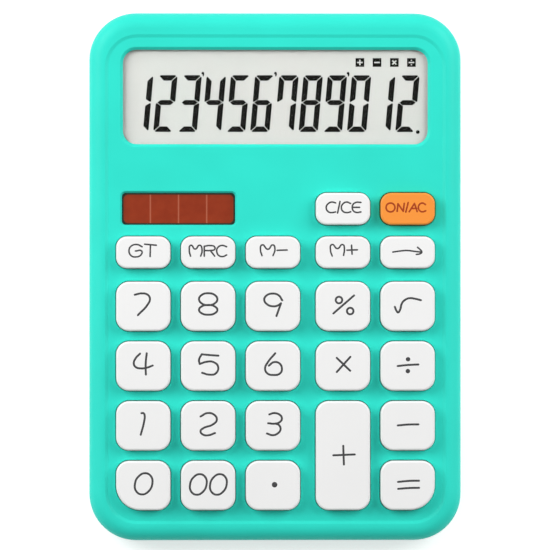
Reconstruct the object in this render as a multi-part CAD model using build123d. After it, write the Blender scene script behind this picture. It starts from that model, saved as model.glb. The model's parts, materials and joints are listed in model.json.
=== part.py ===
from build123d import *
import os
from collections import namedtuple
from math import atan, cos, degrees, hypot, pi, radians, sin, tan

# A desk calculator with 26 keys, a 12-digit display, a solar cell and a AAA cell as its reserve.
# It lies flat on four feet: +Y runs to the display end, +X to the right, +Z up. Millimetres.
#
# Everything that belongs to the keyboard and the display is made in the face frame: x to the right,
# y up the slope, z along the face normal, z = 0 on the flat face, origin at the middle of the case.
# Everything that belongs to the underside is made in the base frame: z = 0 on the underside of the
# lower case. place_on_face() and place_on_desk() bring the two together.

# ---------------------------------------------------------------- driving dimensions

# Key caps
KEY_WIDTH = 15.3
KEY_LENGTH = 13.9
SMALL_KEY_LENGTH = 9.0
KEY_CORNER = 3.65
SMALL_KEY_CORNER = 3.05
OUTER_KEY_CORNER = 7.0          # the corner of 0 and of = that follows the corner of the case
KEY_PROUD = 2.6                 # top of a key above the face
KEY_EDGE_ROUND = 0.6
KEY_TOP_WALL = 1.2
KEY_SIDE_WALL = 1.2
KEY_CLEARANCE = 0.2             # between a cap and its opening
KEY_TRAVEL = 1.5
FLANGE_WIDTH = 0.6              # how far the flange reaches under the face
FLANGE_THICKNESS = 1.0
FLANGE_PLAY = 0.1
PLUNGER_DIAMETER = 3.6

# Key field
COLUMN_GAP = 3.0
OPERATOR_GAP = 4.46             # wider gap before the two operator columns
ROW_GAP = 2.96
FUNCTION_GAP = 3.77             # between the 7-8-9 row and the function keys
SMALL_ROW_GAP = 3.3
SIDE_MARGIN = 2.27              # from the keys to the rim
FRONT_MARGIN = 3.08

# Display and solar cell, as seen through their windows, which widen towards the face
DISPLAY_INSET = 1.9             # display window inside the width of the key field
DISPLAY_LENGTH = 26.65
DISPLAY_CORNER = 3.8
DISPLAY_BEVEL = 0.8
DISPLAY_GAP = 13.8              # from the top row of keys to the display window
REAR_MARGIN = 3.44
SOLAR_INSET = 1.6
SOLAR_WIDTH = 32.0
SOLAR_LENGTH = 9.0
SOLAR_CORNER = 1.1
SOLAR_BEVEL = 0.5

# Case shells
RIM_SIDE = 5.35
RIM_FRONT = 5.65
RIM_REAR = 7.06
RIM_HEIGHT = 0.35
RIM_ROUND = 4.2
RIM_BEVEL = 0.9
CASE_CORNER = 13.3
FACE_CORNER = 8.2
FACE_WALL = 1.8
OPENING_ROUND = 0.3              # round top edge of every opening in the face
SIDE_WALL = 2.0
INNER_ROUND = 1.6
FLOOR_THICKNESS = 1.8
LOWER_EDGE = 3.5                # height of the lower shell at the front edge
DRAFT = 3.0                     # degrees, on the lower shell's walls
BASE_ROUND = 2.4
LAP_HEIGHT = 1.2                # tongue of the lower shell inside the upper shell
LAP_THICKNESS = 0.8
LAP_CLEARANCE = 0.1
SEAM_HEIGHT = 0.4               # shadow gap all round under the upper shell
SEAM_DEPTH = 0.4

# Windows, tapes and the display stack
POCKET_DEPTH = 1.0              # pocket behind each window
POCKET_CLEARANCE = 0.15
WINDOW_OVERLAP = 1.5            # how far a window plate reaches behind the face
TAPE_THICKNESS = 0.15
TAPE_WIDTH = 1.2
LENS_THICKNESS = 0.8
LCD_GAP = 0.15
LCD_OVERLAP = 0.7
POLARISER_THICKNESS = 0.2
GLASS_THICKNESS = 0.9
REFLECTOR_THICKNESS = 0.2
LEDGE_WIDTH = 3.0               # contact ledge of the rear glass
BRACKET_PLATE = 1.2
BRACKET_WALL = 1.0
BRACKET_CLEARANCE = 0.2
BRACKET_FRONT_EDGE = 0.4
BRACKET_SCREW_SPACING = 18.0
BRACKET_BOSS_GAP = 0.6
SOLAR_THICKNESS = 1.1

# Silicone mat
MAT_THICKNESS = 0.9
MAT_MARGIN = 0.4
PRESS_CLEARANCE = 0.2           # left under the flange at full travel
DOME_BASE = 7.0
DOME_TOP = 4.0
DOME_WALL = 0.7
DOME_ROOF = 0.8
PILL_DIAMETER = 2.4
PILL_THICKNESS = 0.4
MAT_HOLE_CLEARANCE = 0.3

# Main board
BOARD_THICKNESS = 1.2
BOARD_MARGIN = 0.8
BOARD_CORNER = 9.0
BOARD_REAR_CORNER = 2.0
BOARD_REAR_EDGE = 1.0           # board behind its rear screw bosses
BOARD_BOSS_GAP = 0.4            # between the rear screw bosses and the keys or the solar cell
SOLDER_ROOM = 1.5               # under the board at the front edge
RIBBON_WIDTH = 44.0
RIBBON_THICKNESS = 0.2
RIBBON_PAD = 2.4
BLOB_DIAMETER = 13.0
BLOB_HEIGHT = 1.6
CAPACITOR_DIAMETER = 5.0
CAPACITOR_HEIGHT = 7.0
CAPACITOR_ROUND = 0.5
CHIP_LENGTH = 2.0
CHIP_WIDTH = 1.2
CHIP_HEIGHT = 0.6
CHIP_SPACING = 4.0
CHIP_COUNT = 5

# Screws
SMALL_SCREW = 1.7
SMALL_SCREW_HEAD = 3.2
SMALL_SCREW_HEAD_HEIGHT = 1.0
SMALL_BOSS = 3.8
CASE_SCREW = 2.2
CASE_SCREW_HEAD = 4.0
CASE_SCREW_HEAD_HEIGHT = 1.4
CASE_SCREW_GRIP = 4.0           # thread length in the upper shell's boss
HEAD_ROUND_SHARE = 0.4          # rounding of a screw's head, as a share of the head's height
RECESS_LENGTH_SHARE = 0.6       # cross recess, as shares of the head's width and height
RECESS_WIDTH_SHARE = 0.16
RECESS_DEPTH_SHARE = 0.55
CASE_BOSS = 4.8
CASE_BOSS_GAP = 0.3
PILLAR_WALL = 1.2
SCREW_SHELF = 1.6
SCREW_HOLE_CLEARANCE = 0.2
REAR_SCREW_SPACING = 72.0
REAR_SCREW_GAP = 0.9

# Reserve cell and its bay
CELL_DIAMETER = 10.5
CELL_LENGTH = 44.5
CELL_NUB = 3.8
CELL_NUB_HEIGHT = 0.8
CELL_ROUND = 0.5
CELL_PLAY = 0.3
BAY_WALL = 1.2
BAY_HEADROOM = 1.3              # between the bay and the display bracket
BAY_REAR_GAP = 12.0             # from the bay to the rear face of the case
CONTACT_THICKNESS = 0.4
CONTACT_WIDTH = 8.0
TAB_WIDTH = 3.0
TAB_LENGTH = 2.6
TAB_CLEARANCE = 0.1
SPRING_ROOM = 4.6
SPRING_WIRE = 0.6
SPRING_LARGE = 6.6
SPRING_SMALL = 4.4
SPRING_TURNS = 3
LEAD_DIAMETER = 1.0
LEAD_BEND = 2.4
SOLAR_LEAD_DIAMETER = 0.7
SOLAR_LEAD_BEND = 1.8
SOLAR_LEAD_SPACING = 4.0
SOLAR_LEAD_PAD = 4.0
SOLAR_LEAD_REACH = 2.5

# Battery door
DOOR_PLATE = 0.9                # outer layer of the door, flush with the floor
DOOR_TONGUE = 0.9               # inner layer that slides in the grooves
DOOR_TONGUE_WIDTH = 1.2
DOOR_CLEARANCE = 0.15
DOOR_RAIL = 1.6
DOOR_TRAVEL = 14.0
GRIP_COUNT = 5
GRIP_PITCH = 1.6
GRIP_WIDTH = 0.8
GRIP_DEPTH = 0.35
GRIP_LENGTH = 14.0

# Feet and label
FOOT_DIAMETER = 9.0
FOOT_PROUD = 1.2
FOOT_RECESS = 0.8
FOOT_CLEARANCE = 0.1
FOOT_ROUND = 0.4
FOOT_INSET = 13.5
REAR_FOOT_INSET = 17.0
LABEL_WIDTH = 42.0
LABEL_LENGTH = 20.0
LABEL_CORNER = 1.5
LABEL_THICKNESS = 0.2

# ---------------------------------------------------------------- layout in the face frame

# One list per row, from the front edge to the display. A name in two rows is one tall key.
KEY_LAYOUT = [
    ["key_0", "key_00", "key_point", "key_plus", "key_equals"],
    ["key_1", "key_2", "key_3", "key_plus", "key_minus"],
    ["key_4", "key_5", "key_6", "key_times", "key_divide"],
    ["key_7", "key_8", "key_9", "key_percent", "key_root"],
    ["key_grand_total", "key_memory_recall", "key_memory_minus", "key_memory_plus", "key_backspace"],
    [None, None, None, "key_clear", "key_on"],
]
ROUNDED_OUTER_CORNER = {"key_0": (-1, -1), "key_equals": (1, -1)}

ROW_LENGTHS = [KEY_LENGTH] * 4 + [SMALL_KEY_LENGTH] * 2
ROW_GAPS = [ROW_GAP] * 3 + [FUNCTION_GAP, SMALL_ROW_GAP]
COLUMN_WIDTHS = [KEY_WIDTH] * 5
COLUMN_GAPS = [COLUMN_GAP, COLUMN_GAP, OPERATOR_GAP, COLUMN_GAP]

FIELD_WIDTH = sum(COLUMN_WIDTHS) + sum(COLUMN_GAPS)
FIELD_LENGTH = sum(ROW_LENGTHS) + sum(ROW_GAPS)
FACE_WIDTH = FIELD_WIDTH + 2 * SIDE_MARGIN
FACE_LENGTH = FRONT_MARGIN + FIELD_LENGTH + DISPLAY_GAP + DISPLAY_LENGTH + REAR_MARGIN
CASE_WIDTH = FACE_WIDTH + 2 * RIM_SIDE
CASE_LENGTH = FACE_LENGTH + RIM_FRONT + RIM_REAR
FACE_Y = (RIM_FRONT - RIM_REAR) / 2


def centres(sizes, gaps, start):
    """Middles of a row of pieces laid end to end with the given gaps."""
    middles = []
    edge = start
    for index, size in enumerate(sizes):
        middles.append(edge + size / 2)
        edge += size + (gaps[index] if index < len(gaps) else 0)
    return middles


FIELD_FRONT = -CASE_LENGTH / 2 + RIM_FRONT + FRONT_MARGIN
FIELD_REAR = FIELD_FRONT + FIELD_LENGTH
COLUMNS = centres(COLUMN_WIDTHS, COLUMN_GAPS, -FIELD_WIDTH / 2)
ROWS = centres(ROW_LENGTHS, ROW_GAPS, FIELD_FRONT)

DISPLAY_WIDTH = FIELD_WIDTH - 2 * DISPLAY_INSET
DISPLAY_Y = FIELD_REAR + DISPLAY_GAP + DISPLAY_LENGTH / 2
SOLAR_X = -FIELD_WIDTH / 2 + SOLAR_INSET + SOLAR_WIDTH / 2
SOLAR_Y = ROWS[5]

Window = namedtuple("Window", "width length corner bevel x y")
DISPLAY_OPENING = Window(DISPLAY_WIDTH, DISPLAY_LENGTH, DISPLAY_CORNER, DISPLAY_BEVEL, 0.0, DISPLAY_Y)
SOLAR_OPENING = Window(SOLAR_WIDTH, SOLAR_LENGTH, SOLAR_CORNER, SOLAR_BEVEL, SOLAR_X, SOLAR_Y)
WINDOWS = [DISPLAY_OPENING, SOLAR_OPENING]

Key = namedtuple("Key", "x y width length corner outer_corner cells")


def find_keys():
    """Every key with its place on the face, its size and the cells of the layout that it covers."""
    keys = {}
    for row, names in enumerate(KEY_LAYOUT):
        for column, name in enumerate(names):
            if name is None:
                continue
            cells = [(COLUMNS[column], ROWS[row])]
            front = ROWS[row] - ROW_LENGTHS[row] / 2
            if name in keys:
                first = keys[name]
                cells = first.cells + cells
                front = first.y - first.length / 2
            rear = ROWS[row] + ROW_LENGTHS[row] / 2
            corner = KEY_CORNER if ROW_LENGTHS[row] == KEY_LENGTH else SMALL_KEY_CORNER
            keys[name] = Key(COLUMNS[column], (front + rear) / 2, COLUMN_WIDTHS[column], rear - front,
                             corner, ROUNDED_OUTER_CORNER.get(name), cells)
    return keys


KEYS = find_keys()

# ---------------------------------------------------------------- levels in the face frame

FLANGE_TOP = -(FACE_WALL + FLANGE_PLAY)
FLANGE_BOTTOM = FLANGE_TOP - FLANGE_THICKNESS
MAT_TOP = FLANGE_BOTTOM - KEY_TRAVEL - PRESS_CLEARANCE
BOARD_TOP = MAT_TOP - MAT_THICKNESS
BOARD_BOTTOM = BOARD_TOP - BOARD_THICKNESS
FRONT_THICKNESS = -BOARD_BOTTOM + SOLDER_ROOM + FLOOR_THICKNESS
PARTING = -(FRONT_THICKNESS - LOWER_EDGE)

WINDOW_RECESS = FACE_WALL - POCKET_DEPTH
PLATE_TOP = -(WINDOW_RECESS + TAPE_THICKNESS)
LENS_BOTTOM = PLATE_TOP - LENS_THICKNESS
SOLAR_BOTTOM = PLATE_TOP - SOLAR_THICKNESS
POLARISER_TOP = LENS_BOTTOM - LCD_GAP
FRONT_GLASS_TOP = POLARISER_TOP - POLARISER_THICKNESS
REAR_GLASS_TOP = FRONT_GLASS_TOP - GLASS_THICKNESS
REFLECTOR_TOP = REAR_GLASS_TOP - GLASS_THICKNESS
BRACKET_TOP = REFLECTOR_TOP - REFLECTOR_THICKNESS
BRACKET_BOTTOM = BRACKET_TOP - BRACKET_PLATE

# The display glass and its tray
LCD_WIDTH = DISPLAY_WIDTH + 2 * LCD_OVERLAP
LCD_FRONT = DISPLAY_Y - DISPLAY_LENGTH / 2 - LCD_OVERLAP
LCD_REAR = DISPLAY_Y + DISPLAY_LENGTH / 2 + LCD_OVERLAP
LEDGE_FRONT = LCD_FRONT - LEDGE_WIDTH
TRAY_HALF_WIDTH = LCD_WIDTH / 2 + BRACKET_CLEARANCE + BRACKET_WALL
TRAY_REAR = LCD_REAR + BRACKET_CLEARANCE + BRACKET_WALL
TRAY_FRONT = LEDGE_FRONT - BRACKET_FRONT_EDGE
BRACKET_SCREW_X = TRAY_HALF_WIDTH + BRACKET_BOSS_GAP + SMALL_BOSS / 2
BRACKET_SCREWS = [(side * BRACKET_SCREW_X, DISPLAY_Y + end * BRACKET_SCREW_SPACING / 2)
                  for side in (-1, 1) for end in (-1, 1)]

# Screws of the main board, where the corners of four keys leave room, and along its rear edge
FLANGE_REACH = KEY_CLEARANCE + FLANGE_WIDTH
PLATE_REACH = WINDOW_OVERLAP + POCKET_CLEARANCE
REAR_BOSS_Y = max(FIELD_REAR + FLANGE_REACH, SOLAR_Y + SOLAR_LENGTH / 2 + PLATE_REACH)
REAR_BOSS_Y += SMALL_BOSS / 2 + BOARD_BOSS_GAP


def gap_centre(centre_list, size_list, index):
    """Middle of the gap after the piece with this index."""
    near = centre_list[index] + size_list[index] / 2
    far = centre_list[index + 1] - size_list[index + 1] / 2
    return (near + far) / 2


GAP_X = [gap_centre(COLUMNS, COLUMN_WIDTHS, index) for index in range(4)]
GAP_Y = [gap_centre(ROWS, ROW_LENGTHS, index) for index in range(5)]
BOARD_SCREWS = [(GAP_X[0], GAP_Y[3]), (GAP_X[3], GAP_Y[3]), (GAP_X[0], GAP_Y[1]), (GAP_X[3], GAP_Y[1]),
                (GAP_X[1], GAP_Y[0]), (GAP_X[0], REAR_BOSS_Y), (GAP_X[3], REAR_BOSS_Y)]
BOARD_HALF_WIDTH = FIELD_WIDTH / 2 + BOARD_MARGIN
BOARD_FRONT = FIELD_FRONT - BOARD_MARGIN
BOARD_REAR = REAR_BOSS_Y + SMALL_BOSS / 2 + BOARD_REAR_EDGE

# Screws of the case: in the two front corners, and beside the middle of the rear wall
CORNER_REACH = (CASE_CORNER - SIDE_WALL - CASE_BOSS / 2 - CASE_BOSS_GAP) * cos(pi / 4)
FRONT_SCREW_X = CASE_WIDTH / 2 - CASE_CORNER + CORNER_REACH
FRONT_SCREW_Y = -CASE_LENGTH / 2 + CASE_CORNER - CORNER_REACH
REAR_SCREW_Y = CASE_LENGTH / 2 - SIDE_WALL - CASE_BOSS / 2 - REAR_SCREW_GAP
CASE_SCREWS = [(side * FRONT_SCREW_X, FRONT_SCREW_Y) for side in (-1, 1)]
CASE_SCREWS += [(side * REAR_SCREW_SPACING / 2, REAR_SCREW_Y) for side in (-1, 1)]

# ---------------------------------------------------------------- layout in the base frame

DOOR_THICKNESS = DOOR_PLATE + DOOR_TONGUE
CELL_Z = DOOR_THICKNESS + DOOR_CLEARANCE + CELL_PLAY + CELL_DIAMETER / 2
BAY_TOP = CELL_Z + CELL_DIAMETER / 2 + CELL_PLAY
BAY_ROOF = BAY_TOP + BAY_WALL
BAY_HALF_LENGTH = (CELL_LENGTH + SPRING_ROOM + 2 * CONTACT_THICKNESS) / 2
BAY_HALF_DEPTH = CELL_DIAMETER / 2 + CELL_PLAY

# The wedge follows from its contents: thin at the front, and at the bay deep enough for the cell
BAY_REAR_Y = CASE_LENGTH / 2 - BAY_REAR_GAP
BAY_FRONT_Y = BAY_REAR_Y - 2 * (BAY_HALF_DEPTH + BAY_WALL)
BAY_STACK = -BRACKET_BOTTOM + BAY_HEADROOM + BAY_ROOF
SLOPE = atan((BAY_STACK - FRONT_THICKNESS) / (BAY_FRONT_Y + CASE_LENGTH / 2))
TILT = degrees(SLOPE)
FACE_HEIGHT = FRONT_THICKNESS * cos(SLOPE) + CASE_LENGTH / 2 * sin(SLOPE)
CELL_Y = (BAY_FRONT_Y + BAY_REAR_Y) / 2
DOOR_FRONT_Y = CELL_Y - BAY_HALF_DEPTH
DOOR_HALF_WIDTH = BAY_HALF_LENGTH

DEEP = 2 * CASE_LENGTH          # long enough to cut through anything
FACE_FRAME = Pos(0, 0, FACE_HEIGHT) * Rot(TILT, 0, 0)


def place_on_face(shape):
    """Move a shape from the face frame to the base frame."""
    return FACE_FRAME * shape


def base_height(y, level):
    """Height in the base frame, at y in the base frame, of the plane z = level of the face frame."""
    return FACE_HEIGHT + y * tan(SLOPE) + level / cos(SLOPE)


# ---------------------------------------------------------------- small helpers


def rounded_plate(width, length, corner, bottom, top, x=0.0, y=0.0):
    """A flat plate with round corners between two levels."""
    return Pos(x, y, bottom) * extrude(RectangleRounded(width, length, corner), top - bottom)


def plate(width, length, bottom, top, x=0.0, y=0.0):
    """A flat plate with square corners between two levels."""
    return Pos(x, y, bottom) * extrude(Rectangle(width, length), top - bottom)


def rod(diameter, bottom, top, x=0.0, y=0.0):
    """An upright cylinder between two levels."""
    return Pos(x, y, bottom) * extrude(Circle(diameter / 2), top - bottom)


def rods(diameter, bottom, top, places):
    """Upright cylinders at several places."""
    return [rod(diameter, bottom, top, x, y) for x, y in places]


def screw(diameter, length, head, head_height):
    """A pan-head screw that points up, its head below z = 0, with a cross recess."""
    body = rod(diameter, 0, length) + rod(head, -head_height, 0)
    head_edge = body.faces().sort_by(Axis.Z)[0].edges()
    body = fillet(head_edge, head_height * HEAD_ROUND_SHARE)
    slot = plate(head * RECESS_LENGTH_SHARE, head * RECESS_WIDTH_SHARE,
                 -head_height, -head_height * (1 - RECESS_DEPTH_SHARE))
    return body - slot - Rot(0, 0, 90) * slot


def copies(shape, places, level):
    """Separate copies of a piece at several places, as one group."""
    return Compound(children=[Pos(x, y, level) * shape for x, y in places])


def key_outline(key, grow=0.0):
    """Outline of a key on the face, grown all round."""
    half_width = key.width / 2 + grow
    half_length = key.length / 2 + grow
    outline = Rectangle(2 * half_width, 2 * half_length)
    for side in (-1, 1):
        for end in (-1, 1):
            corner = OUTER_KEY_CORNER if (side, end) == key.outer_corner else key.corner
            vertex = outline.vertices().sort_by_distance((side * half_width, end * half_length, 0))[0]
            outline = fillet(vertex, corner + grow)
    return Pos(key.x, key.y) * outline


def window_outline(window, grow, level):
    """Outline of a window at a level, grown all round."""
    return Pos(window.x, window.y, level) * RectangleRounded(
        window.width + 2 * grow, window.length + 2 * grow, window.corner + grow)


# ---------------------------------------------------------------- case shells


def make_upper_case():
    """Front shell: soft rim, flat face, openings for keys and windows, bosses behind."""
    shell = rounded_plate(CASE_WIDTH, CASE_LENGTH, CASE_CORNER, PARTING, RIM_HEIGHT)
    shell = fillet(shell.edges().group_by(Axis.Z)[-1], RIM_ROUND)
    face = Pos(0, FACE_Y, 0) * RectangleRounded(FACE_WIDTH, FACE_LENGTH, FACE_CORNER)
    wide = Pos(0, FACE_Y, 2 * RIM_HEIGHT) * RectangleRounded(
        FACE_WIDTH + 4 * RIM_BEVEL, FACE_LENGTH + 4 * RIM_BEVEL, FACE_CORNER + 2 * RIM_BEVEL)
    shell -= loft([face, wide])

    cavity = rounded_plate(CASE_WIDTH - 2 * SIDE_WALL, CASE_LENGTH - 2 * SIDE_WALL,
                           CASE_CORNER - SIDE_WALL, PARTING, -FACE_WALL)
    cavity = fillet(cavity.edges().group_by(Axis.Z)[-1], INNER_ROUND)
    shell -= cavity
    lap = SIDE_WALL - LAP_THICKNESS - LAP_CLEARANCE
    shell -= rounded_plate(CASE_WIDTH - 2 * lap, CASE_LENGTH - 2 * lap, CASE_CORNER - lap,
                           PARTING, PARTING + LAP_HEIGHT + LAP_CLEARANCE)

    for key in KEYS.values():
        shell -= Pos(0, 0, -FACE_WALL) * extrude(key_outline(key, KEY_CLEARANCE), FACE_WALL)
    for window in WINDOWS:
        inner = window_outline(window, 0.0, -WINDOW_RECESS)
        shell -= loft([inner, window_outline(window, window.bevel, 0.0)])
        shell -= extrude(window_outline(window, PLATE_REACH, -FACE_WALL), POCKET_DEPTH)

    flat_face = shell.faces().filter_by_position(Axis.Z, -0.01, 0.01).sort_by(SortBy.AREA)[-1]
    opening_edges = [edge for wire in flat_face.inner_wires() for edge in wire.edges()]
    shell = fillet(opening_edges, OPENING_ROUND)

    root = -FACE_WALL / 2
    for boss in rods(SMALL_BOSS, BOARD_TOP, root, BOARD_SCREWS):
        shell += boss
    for boss in rods(SMALL_BOSS, BRACKET_TOP, root, BRACKET_SCREWS):
        shell += boss
    for boss in rods(CASE_BOSS, PARTING, root, CASE_SCREWS):
        shell += boss
    for hole in rods(SMALL_SCREW, BOARD_TOP, -FACE_WALL, BOARD_SCREWS):
        shell -= hole
    for hole in rods(SMALL_SCREW, BRACKET_TOP, -FACE_WALL, BRACKET_SCREWS):
        shell -= hole
    for hole in rods(CASE_SCREW, PARTING, PARTING + CASE_SCREW_GRIP, CASE_SCREWS):
        shell -= hole
    return place_on_face(shell)


def wedge(inset, floor):
    """The lower shell's form, drawn in by an inset and cut off at a height above the base."""
    depth = 2 * BAY_STACK
    draw_in = depth * tan(radians(DRAFT))
    top = Pos(0, 0, PARTING) * RectangleRounded(
        CASE_WIDTH - 2 * inset, CASE_LENGTH - 2 * inset, CASE_CORNER - inset)
    bottom = Pos(0, 0, PARTING - depth) * RectangleRounded(
        CASE_WIDTH - 2 * (inset + draw_in), CASE_LENGTH - 2 * (inset + draw_in),
        CASE_CORNER - inset - draw_in)
    form = place_on_face(loft([top, bottom]))
    return form & plate(DEEP, DEEP, floor, DEEP)


def make_lower_outside():
    """The lower shell's outside, with its bottom edge rounded, as a full solid."""
    form = wedge(0.0, 0.0)
    return fillet(form.edges().filter_by_position(Axis.Z, -0.01, 0.01), BASE_ROUND)


def door_form(clearance):
    """The sliding door's two layers: a flush plate, and above it a wider tongue on three sides."""
    width = 2 * (DOOR_HALF_WIDTH + clearance)
    front = DOOR_FRONT_Y - clearance
    length = CASE_LENGTH - front
    flush = plate(width, length, 0, DOOR_THICKNESS + clearance, 0, front + length / 2)
    tongue = plate(width + 2 * DOOR_TONGUE_WIDTH, length + DOOR_TONGUE_WIDTH, DOOR_PLATE,
                   DOOR_THICKNESS + clearance, 0, front + (length - DOOR_TONGUE_WIDTH) / 2)
    return flush + tongue


FOOT_PLACES = [(side * (CASE_WIDTH / 2 - FOOT_INSET), -CASE_LENGTH / 2 + FOOT_INSET) for side in (-1, 1)]
FOOT_PLACES += [(side * (CASE_WIDTH / 2 - FOOT_INSET), CASE_LENGTH / 2 - REAR_FOOT_INSET)
                for side in (-1, 1)]


def make_lower_case(outside):
    """Rear shell: floor, lap tongue, screw pillars, door slideway and the bay of the cell."""
    shell = outside - wedge(SIDE_WALL, FLOOR_THICKNESS)
    lap = SIDE_WALL - LAP_THICKNESS
    tongue = rounded_plate(CASE_WIDTH - 2 * lap, CASE_LENGTH - 2 * lap, CASE_CORNER - lap,
                           PARTING - LAP_HEIGHT, PARTING + LAP_HEIGHT)
    tongue -= rounded_plate(CASE_WIDTH - 2 * SIDE_WALL, CASE_LENGTH - 2 * SIDE_WALL,
                            CASE_CORNER - SIDE_WALL, PARTING - LAP_HEIGHT, PARTING + LAP_HEIGHT)
    shell += place_on_face(tongue)
    seam = rounded_plate(CASE_WIDTH + SIDE_WALL, CASE_LENGTH + SIDE_WALL, CASE_CORNER + SIDE_WALL / 2,
                         PARTING - SEAM_HEIGHT, PARTING)
    seam -= rounded_plate(CASE_WIDTH - 2 * SEAM_DEPTH, CASE_LENGTH - 2 * SEAM_DEPTH,
                          CASE_CORNER - SEAM_DEPTH, PARTING - SEAM_HEIGHT, PARTING)
    shell -= place_on_face(seam)

    room = CASE_SCREW_HEAD + 2 * SCREW_HOLE_CLEARANCE
    pillars = rods(room + 2 * PILLAR_WALL, PARTING - DEEP, PARTING, CASE_SCREWS)
    for pillar in pillars:
        shell += place_on_face(pillar) & outside
    for hole in rods(room, PARTING - DEEP, PARTING - SCREW_SHELF, CASE_SCREWS):
        shell -= place_on_face(hole)
    for hole in rods(CASE_SCREW + SCREW_HOLE_CLEARANCE, PARTING - SCREW_SHELF, PARTING, CASE_SCREWS):
        shell -= place_on_face(hole)

    rail_half = DOOR_HALF_WIDTH + DOOR_TONGUE_WIDTH + DOOR_RAIL
    rail_front = DOOR_FRONT_Y - DOOR_TONGUE_WIDTH - DOOR_RAIL
    rail_length = CASE_LENGTH - rail_front
    slideway = plate(2 * rail_half, rail_length, 0, DOOR_THICKNESS + DOOR_CLEARANCE + BAY_WALL,
                     0, rail_front + rail_length / 2)
    shell += slideway & outside
    shell += plate(2 * (BAY_HALF_LENGTH + BAY_WALL), 2 * (BAY_HALF_DEPTH + BAY_WALL),
                   FLOOR_THICKNESS / 2, BAY_ROOF, 0, CELL_Y)
    shell -= plate(2 * BAY_HALF_LENGTH, 2 * BAY_HALF_DEPTH, 0, BAY_TOP, 0, CELL_Y)
    shell -= door_form(DOOR_CLEARANCE)
    for side in (-1, 1):
        shell -= tab_slot(side)

    for place in FOOT_PLACES:
        shell -= rod(FOOT_DIAMETER + 2 * FOOT_CLEARANCE, 0, FOOT_RECESS, *place)
    shell -= rounded_plate(LABEL_WIDTH, LABEL_LENGTH, LABEL_CORNER, 0, LABEL_THICKNESS)
    return shell


def make_battery_door(outside):
    """Door that slides off to the rear; its outer face has thumb grooves."""
    door = door_form(0.0) & outside
    grip_y = DOOR_FRONT_Y + BAY_HALF_DEPTH
    for index in range(GRIP_COUNT):
        y = grip_y + (index - (GRIP_COUNT - 1) / 2) * GRIP_PITCH
        door -= plate(GRIP_LENGTH, GRIP_WIDTH, 0, GRIP_DEPTH, 0, y)
    return door


def make_rubber_feet():
    """Four round feet glued into recesses of the floor."""
    foot = rod(FOOT_DIAMETER, -FOOT_PROUD, FOOT_RECESS)
    foot = fillet(foot.edges().group_by(Axis.Z)[0], FOOT_ROUND)
    return copies(foot, FOOT_PLACES, 0)


def make_rating_label():
    """Blank label in its recess on the underside."""
    return rounded_plate(LABEL_WIDTH, LABEL_LENGTH, LABEL_CORNER, 0, LABEL_THICKNESS)


def make_case_screws():
    """Self-tapping screws from below, through the pillars into the upper shell."""
    one = screw(CASE_SCREW, SCREW_SHELF + CASE_SCREW_GRIP, CASE_SCREW_HEAD, CASE_SCREW_HEAD_HEIGHT)
    return place_on_face(copies(one, CASE_SCREWS, PARTING - SCREW_SHELF))


# ---------------------------------------------------------------- windows and display


def window_plate(window, grow, bottom, top):
    """A plate that covers a window from behind, larger than it all round."""
    return extrude(window_outline(window, grow, bottom), top - bottom)


def tape_frame(window):
    """A frame of double-sided tape between the face and a window plate."""
    outer = window_plate(window, WINDOW_OVERLAP, PLATE_TOP, PLATE_TOP + TAPE_THICKNESS)
    inner = window_plate(window, WINDOW_OVERLAP - TAPE_WIDTH, PLATE_TOP, PLATE_TOP + TAPE_THICKNESS)
    return place_on_face(outer - inner)


def make_display_window():
    """Clear window plate."""
    return place_on_face(window_plate(DISPLAY_OPENING, WINDOW_OVERLAP, LENS_BOTTOM, PLATE_TOP))


def make_solar_cell():
    """Glass solar cell behind its own window."""
    return place_on_face(window_plate(SOLAR_OPENING, WINDOW_OVERLAP, SOLAR_BOTTOM, PLATE_TOP))


def lcd_layer(front, bottom, top):
    """One sheet of the display stack, from its front edge to the rear edge of the glass."""
    return place_on_face(plate(LCD_WIDTH, LCD_REAR - front, bottom, top, 0, (front + LCD_REAR) / 2))


def make_lcd_bracket():
    """Tray under the display with walls on three sides and four screw ears."""
    length = TRAY_REAR - TRAY_FRONT
    middle = (TRAY_REAR + TRAY_FRONT) / 2
    tray = plate(2 * TRAY_HALF_WIDTH, length, BRACKET_BOTTOM, POLARISER_TOP, 0, middle)
    room = LCD_WIDTH + 2 * BRACKET_CLEARANCE
    room_rear = TRAY_REAR - BRACKET_WALL
    tray -= plate(room, room_rear - TRAY_FRONT, BRACKET_TOP, POLARISER_TOP, 0, (room_rear + TRAY_FRONT) / 2)
    for x, y in BRACKET_SCREWS:
        reach = BRACKET_BOSS_GAP + SMALL_BOSS / 2 + BRACKET_WALL
        inner = TRAY_HALF_WIDTH - BRACKET_WALL / 2
        outer = BRACKET_SCREW_X
        side = 1 if x > 0 else -1
        tray += plate(outer - inner, SMALL_BOSS, BRACKET_BOTTOM, BRACKET_TOP, side * (inner + outer) / 2, y)
        tray += rod(SMALL_BOSS, BRACKET_BOTTOM, BRACKET_TOP, x, y)
        tray -= rod(SMALL_SCREW + SCREW_HOLE_CLEARANCE, BRACKET_BOTTOM, BRACKET_TOP, x, y)
    return place_on_face(tray)


def make_bracket_screws():
    """Screws that hold the display tray."""
    one = screw(SMALL_SCREW, BRACKET_PLATE + (-FACE_WALL - BRACKET_TOP), SMALL_SCREW_HEAD,
                SMALL_SCREW_HEAD_HEIGHT)
    return place_on_face(copies(one, BRACKET_SCREWS, BRACKET_BOTTOM))


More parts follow.
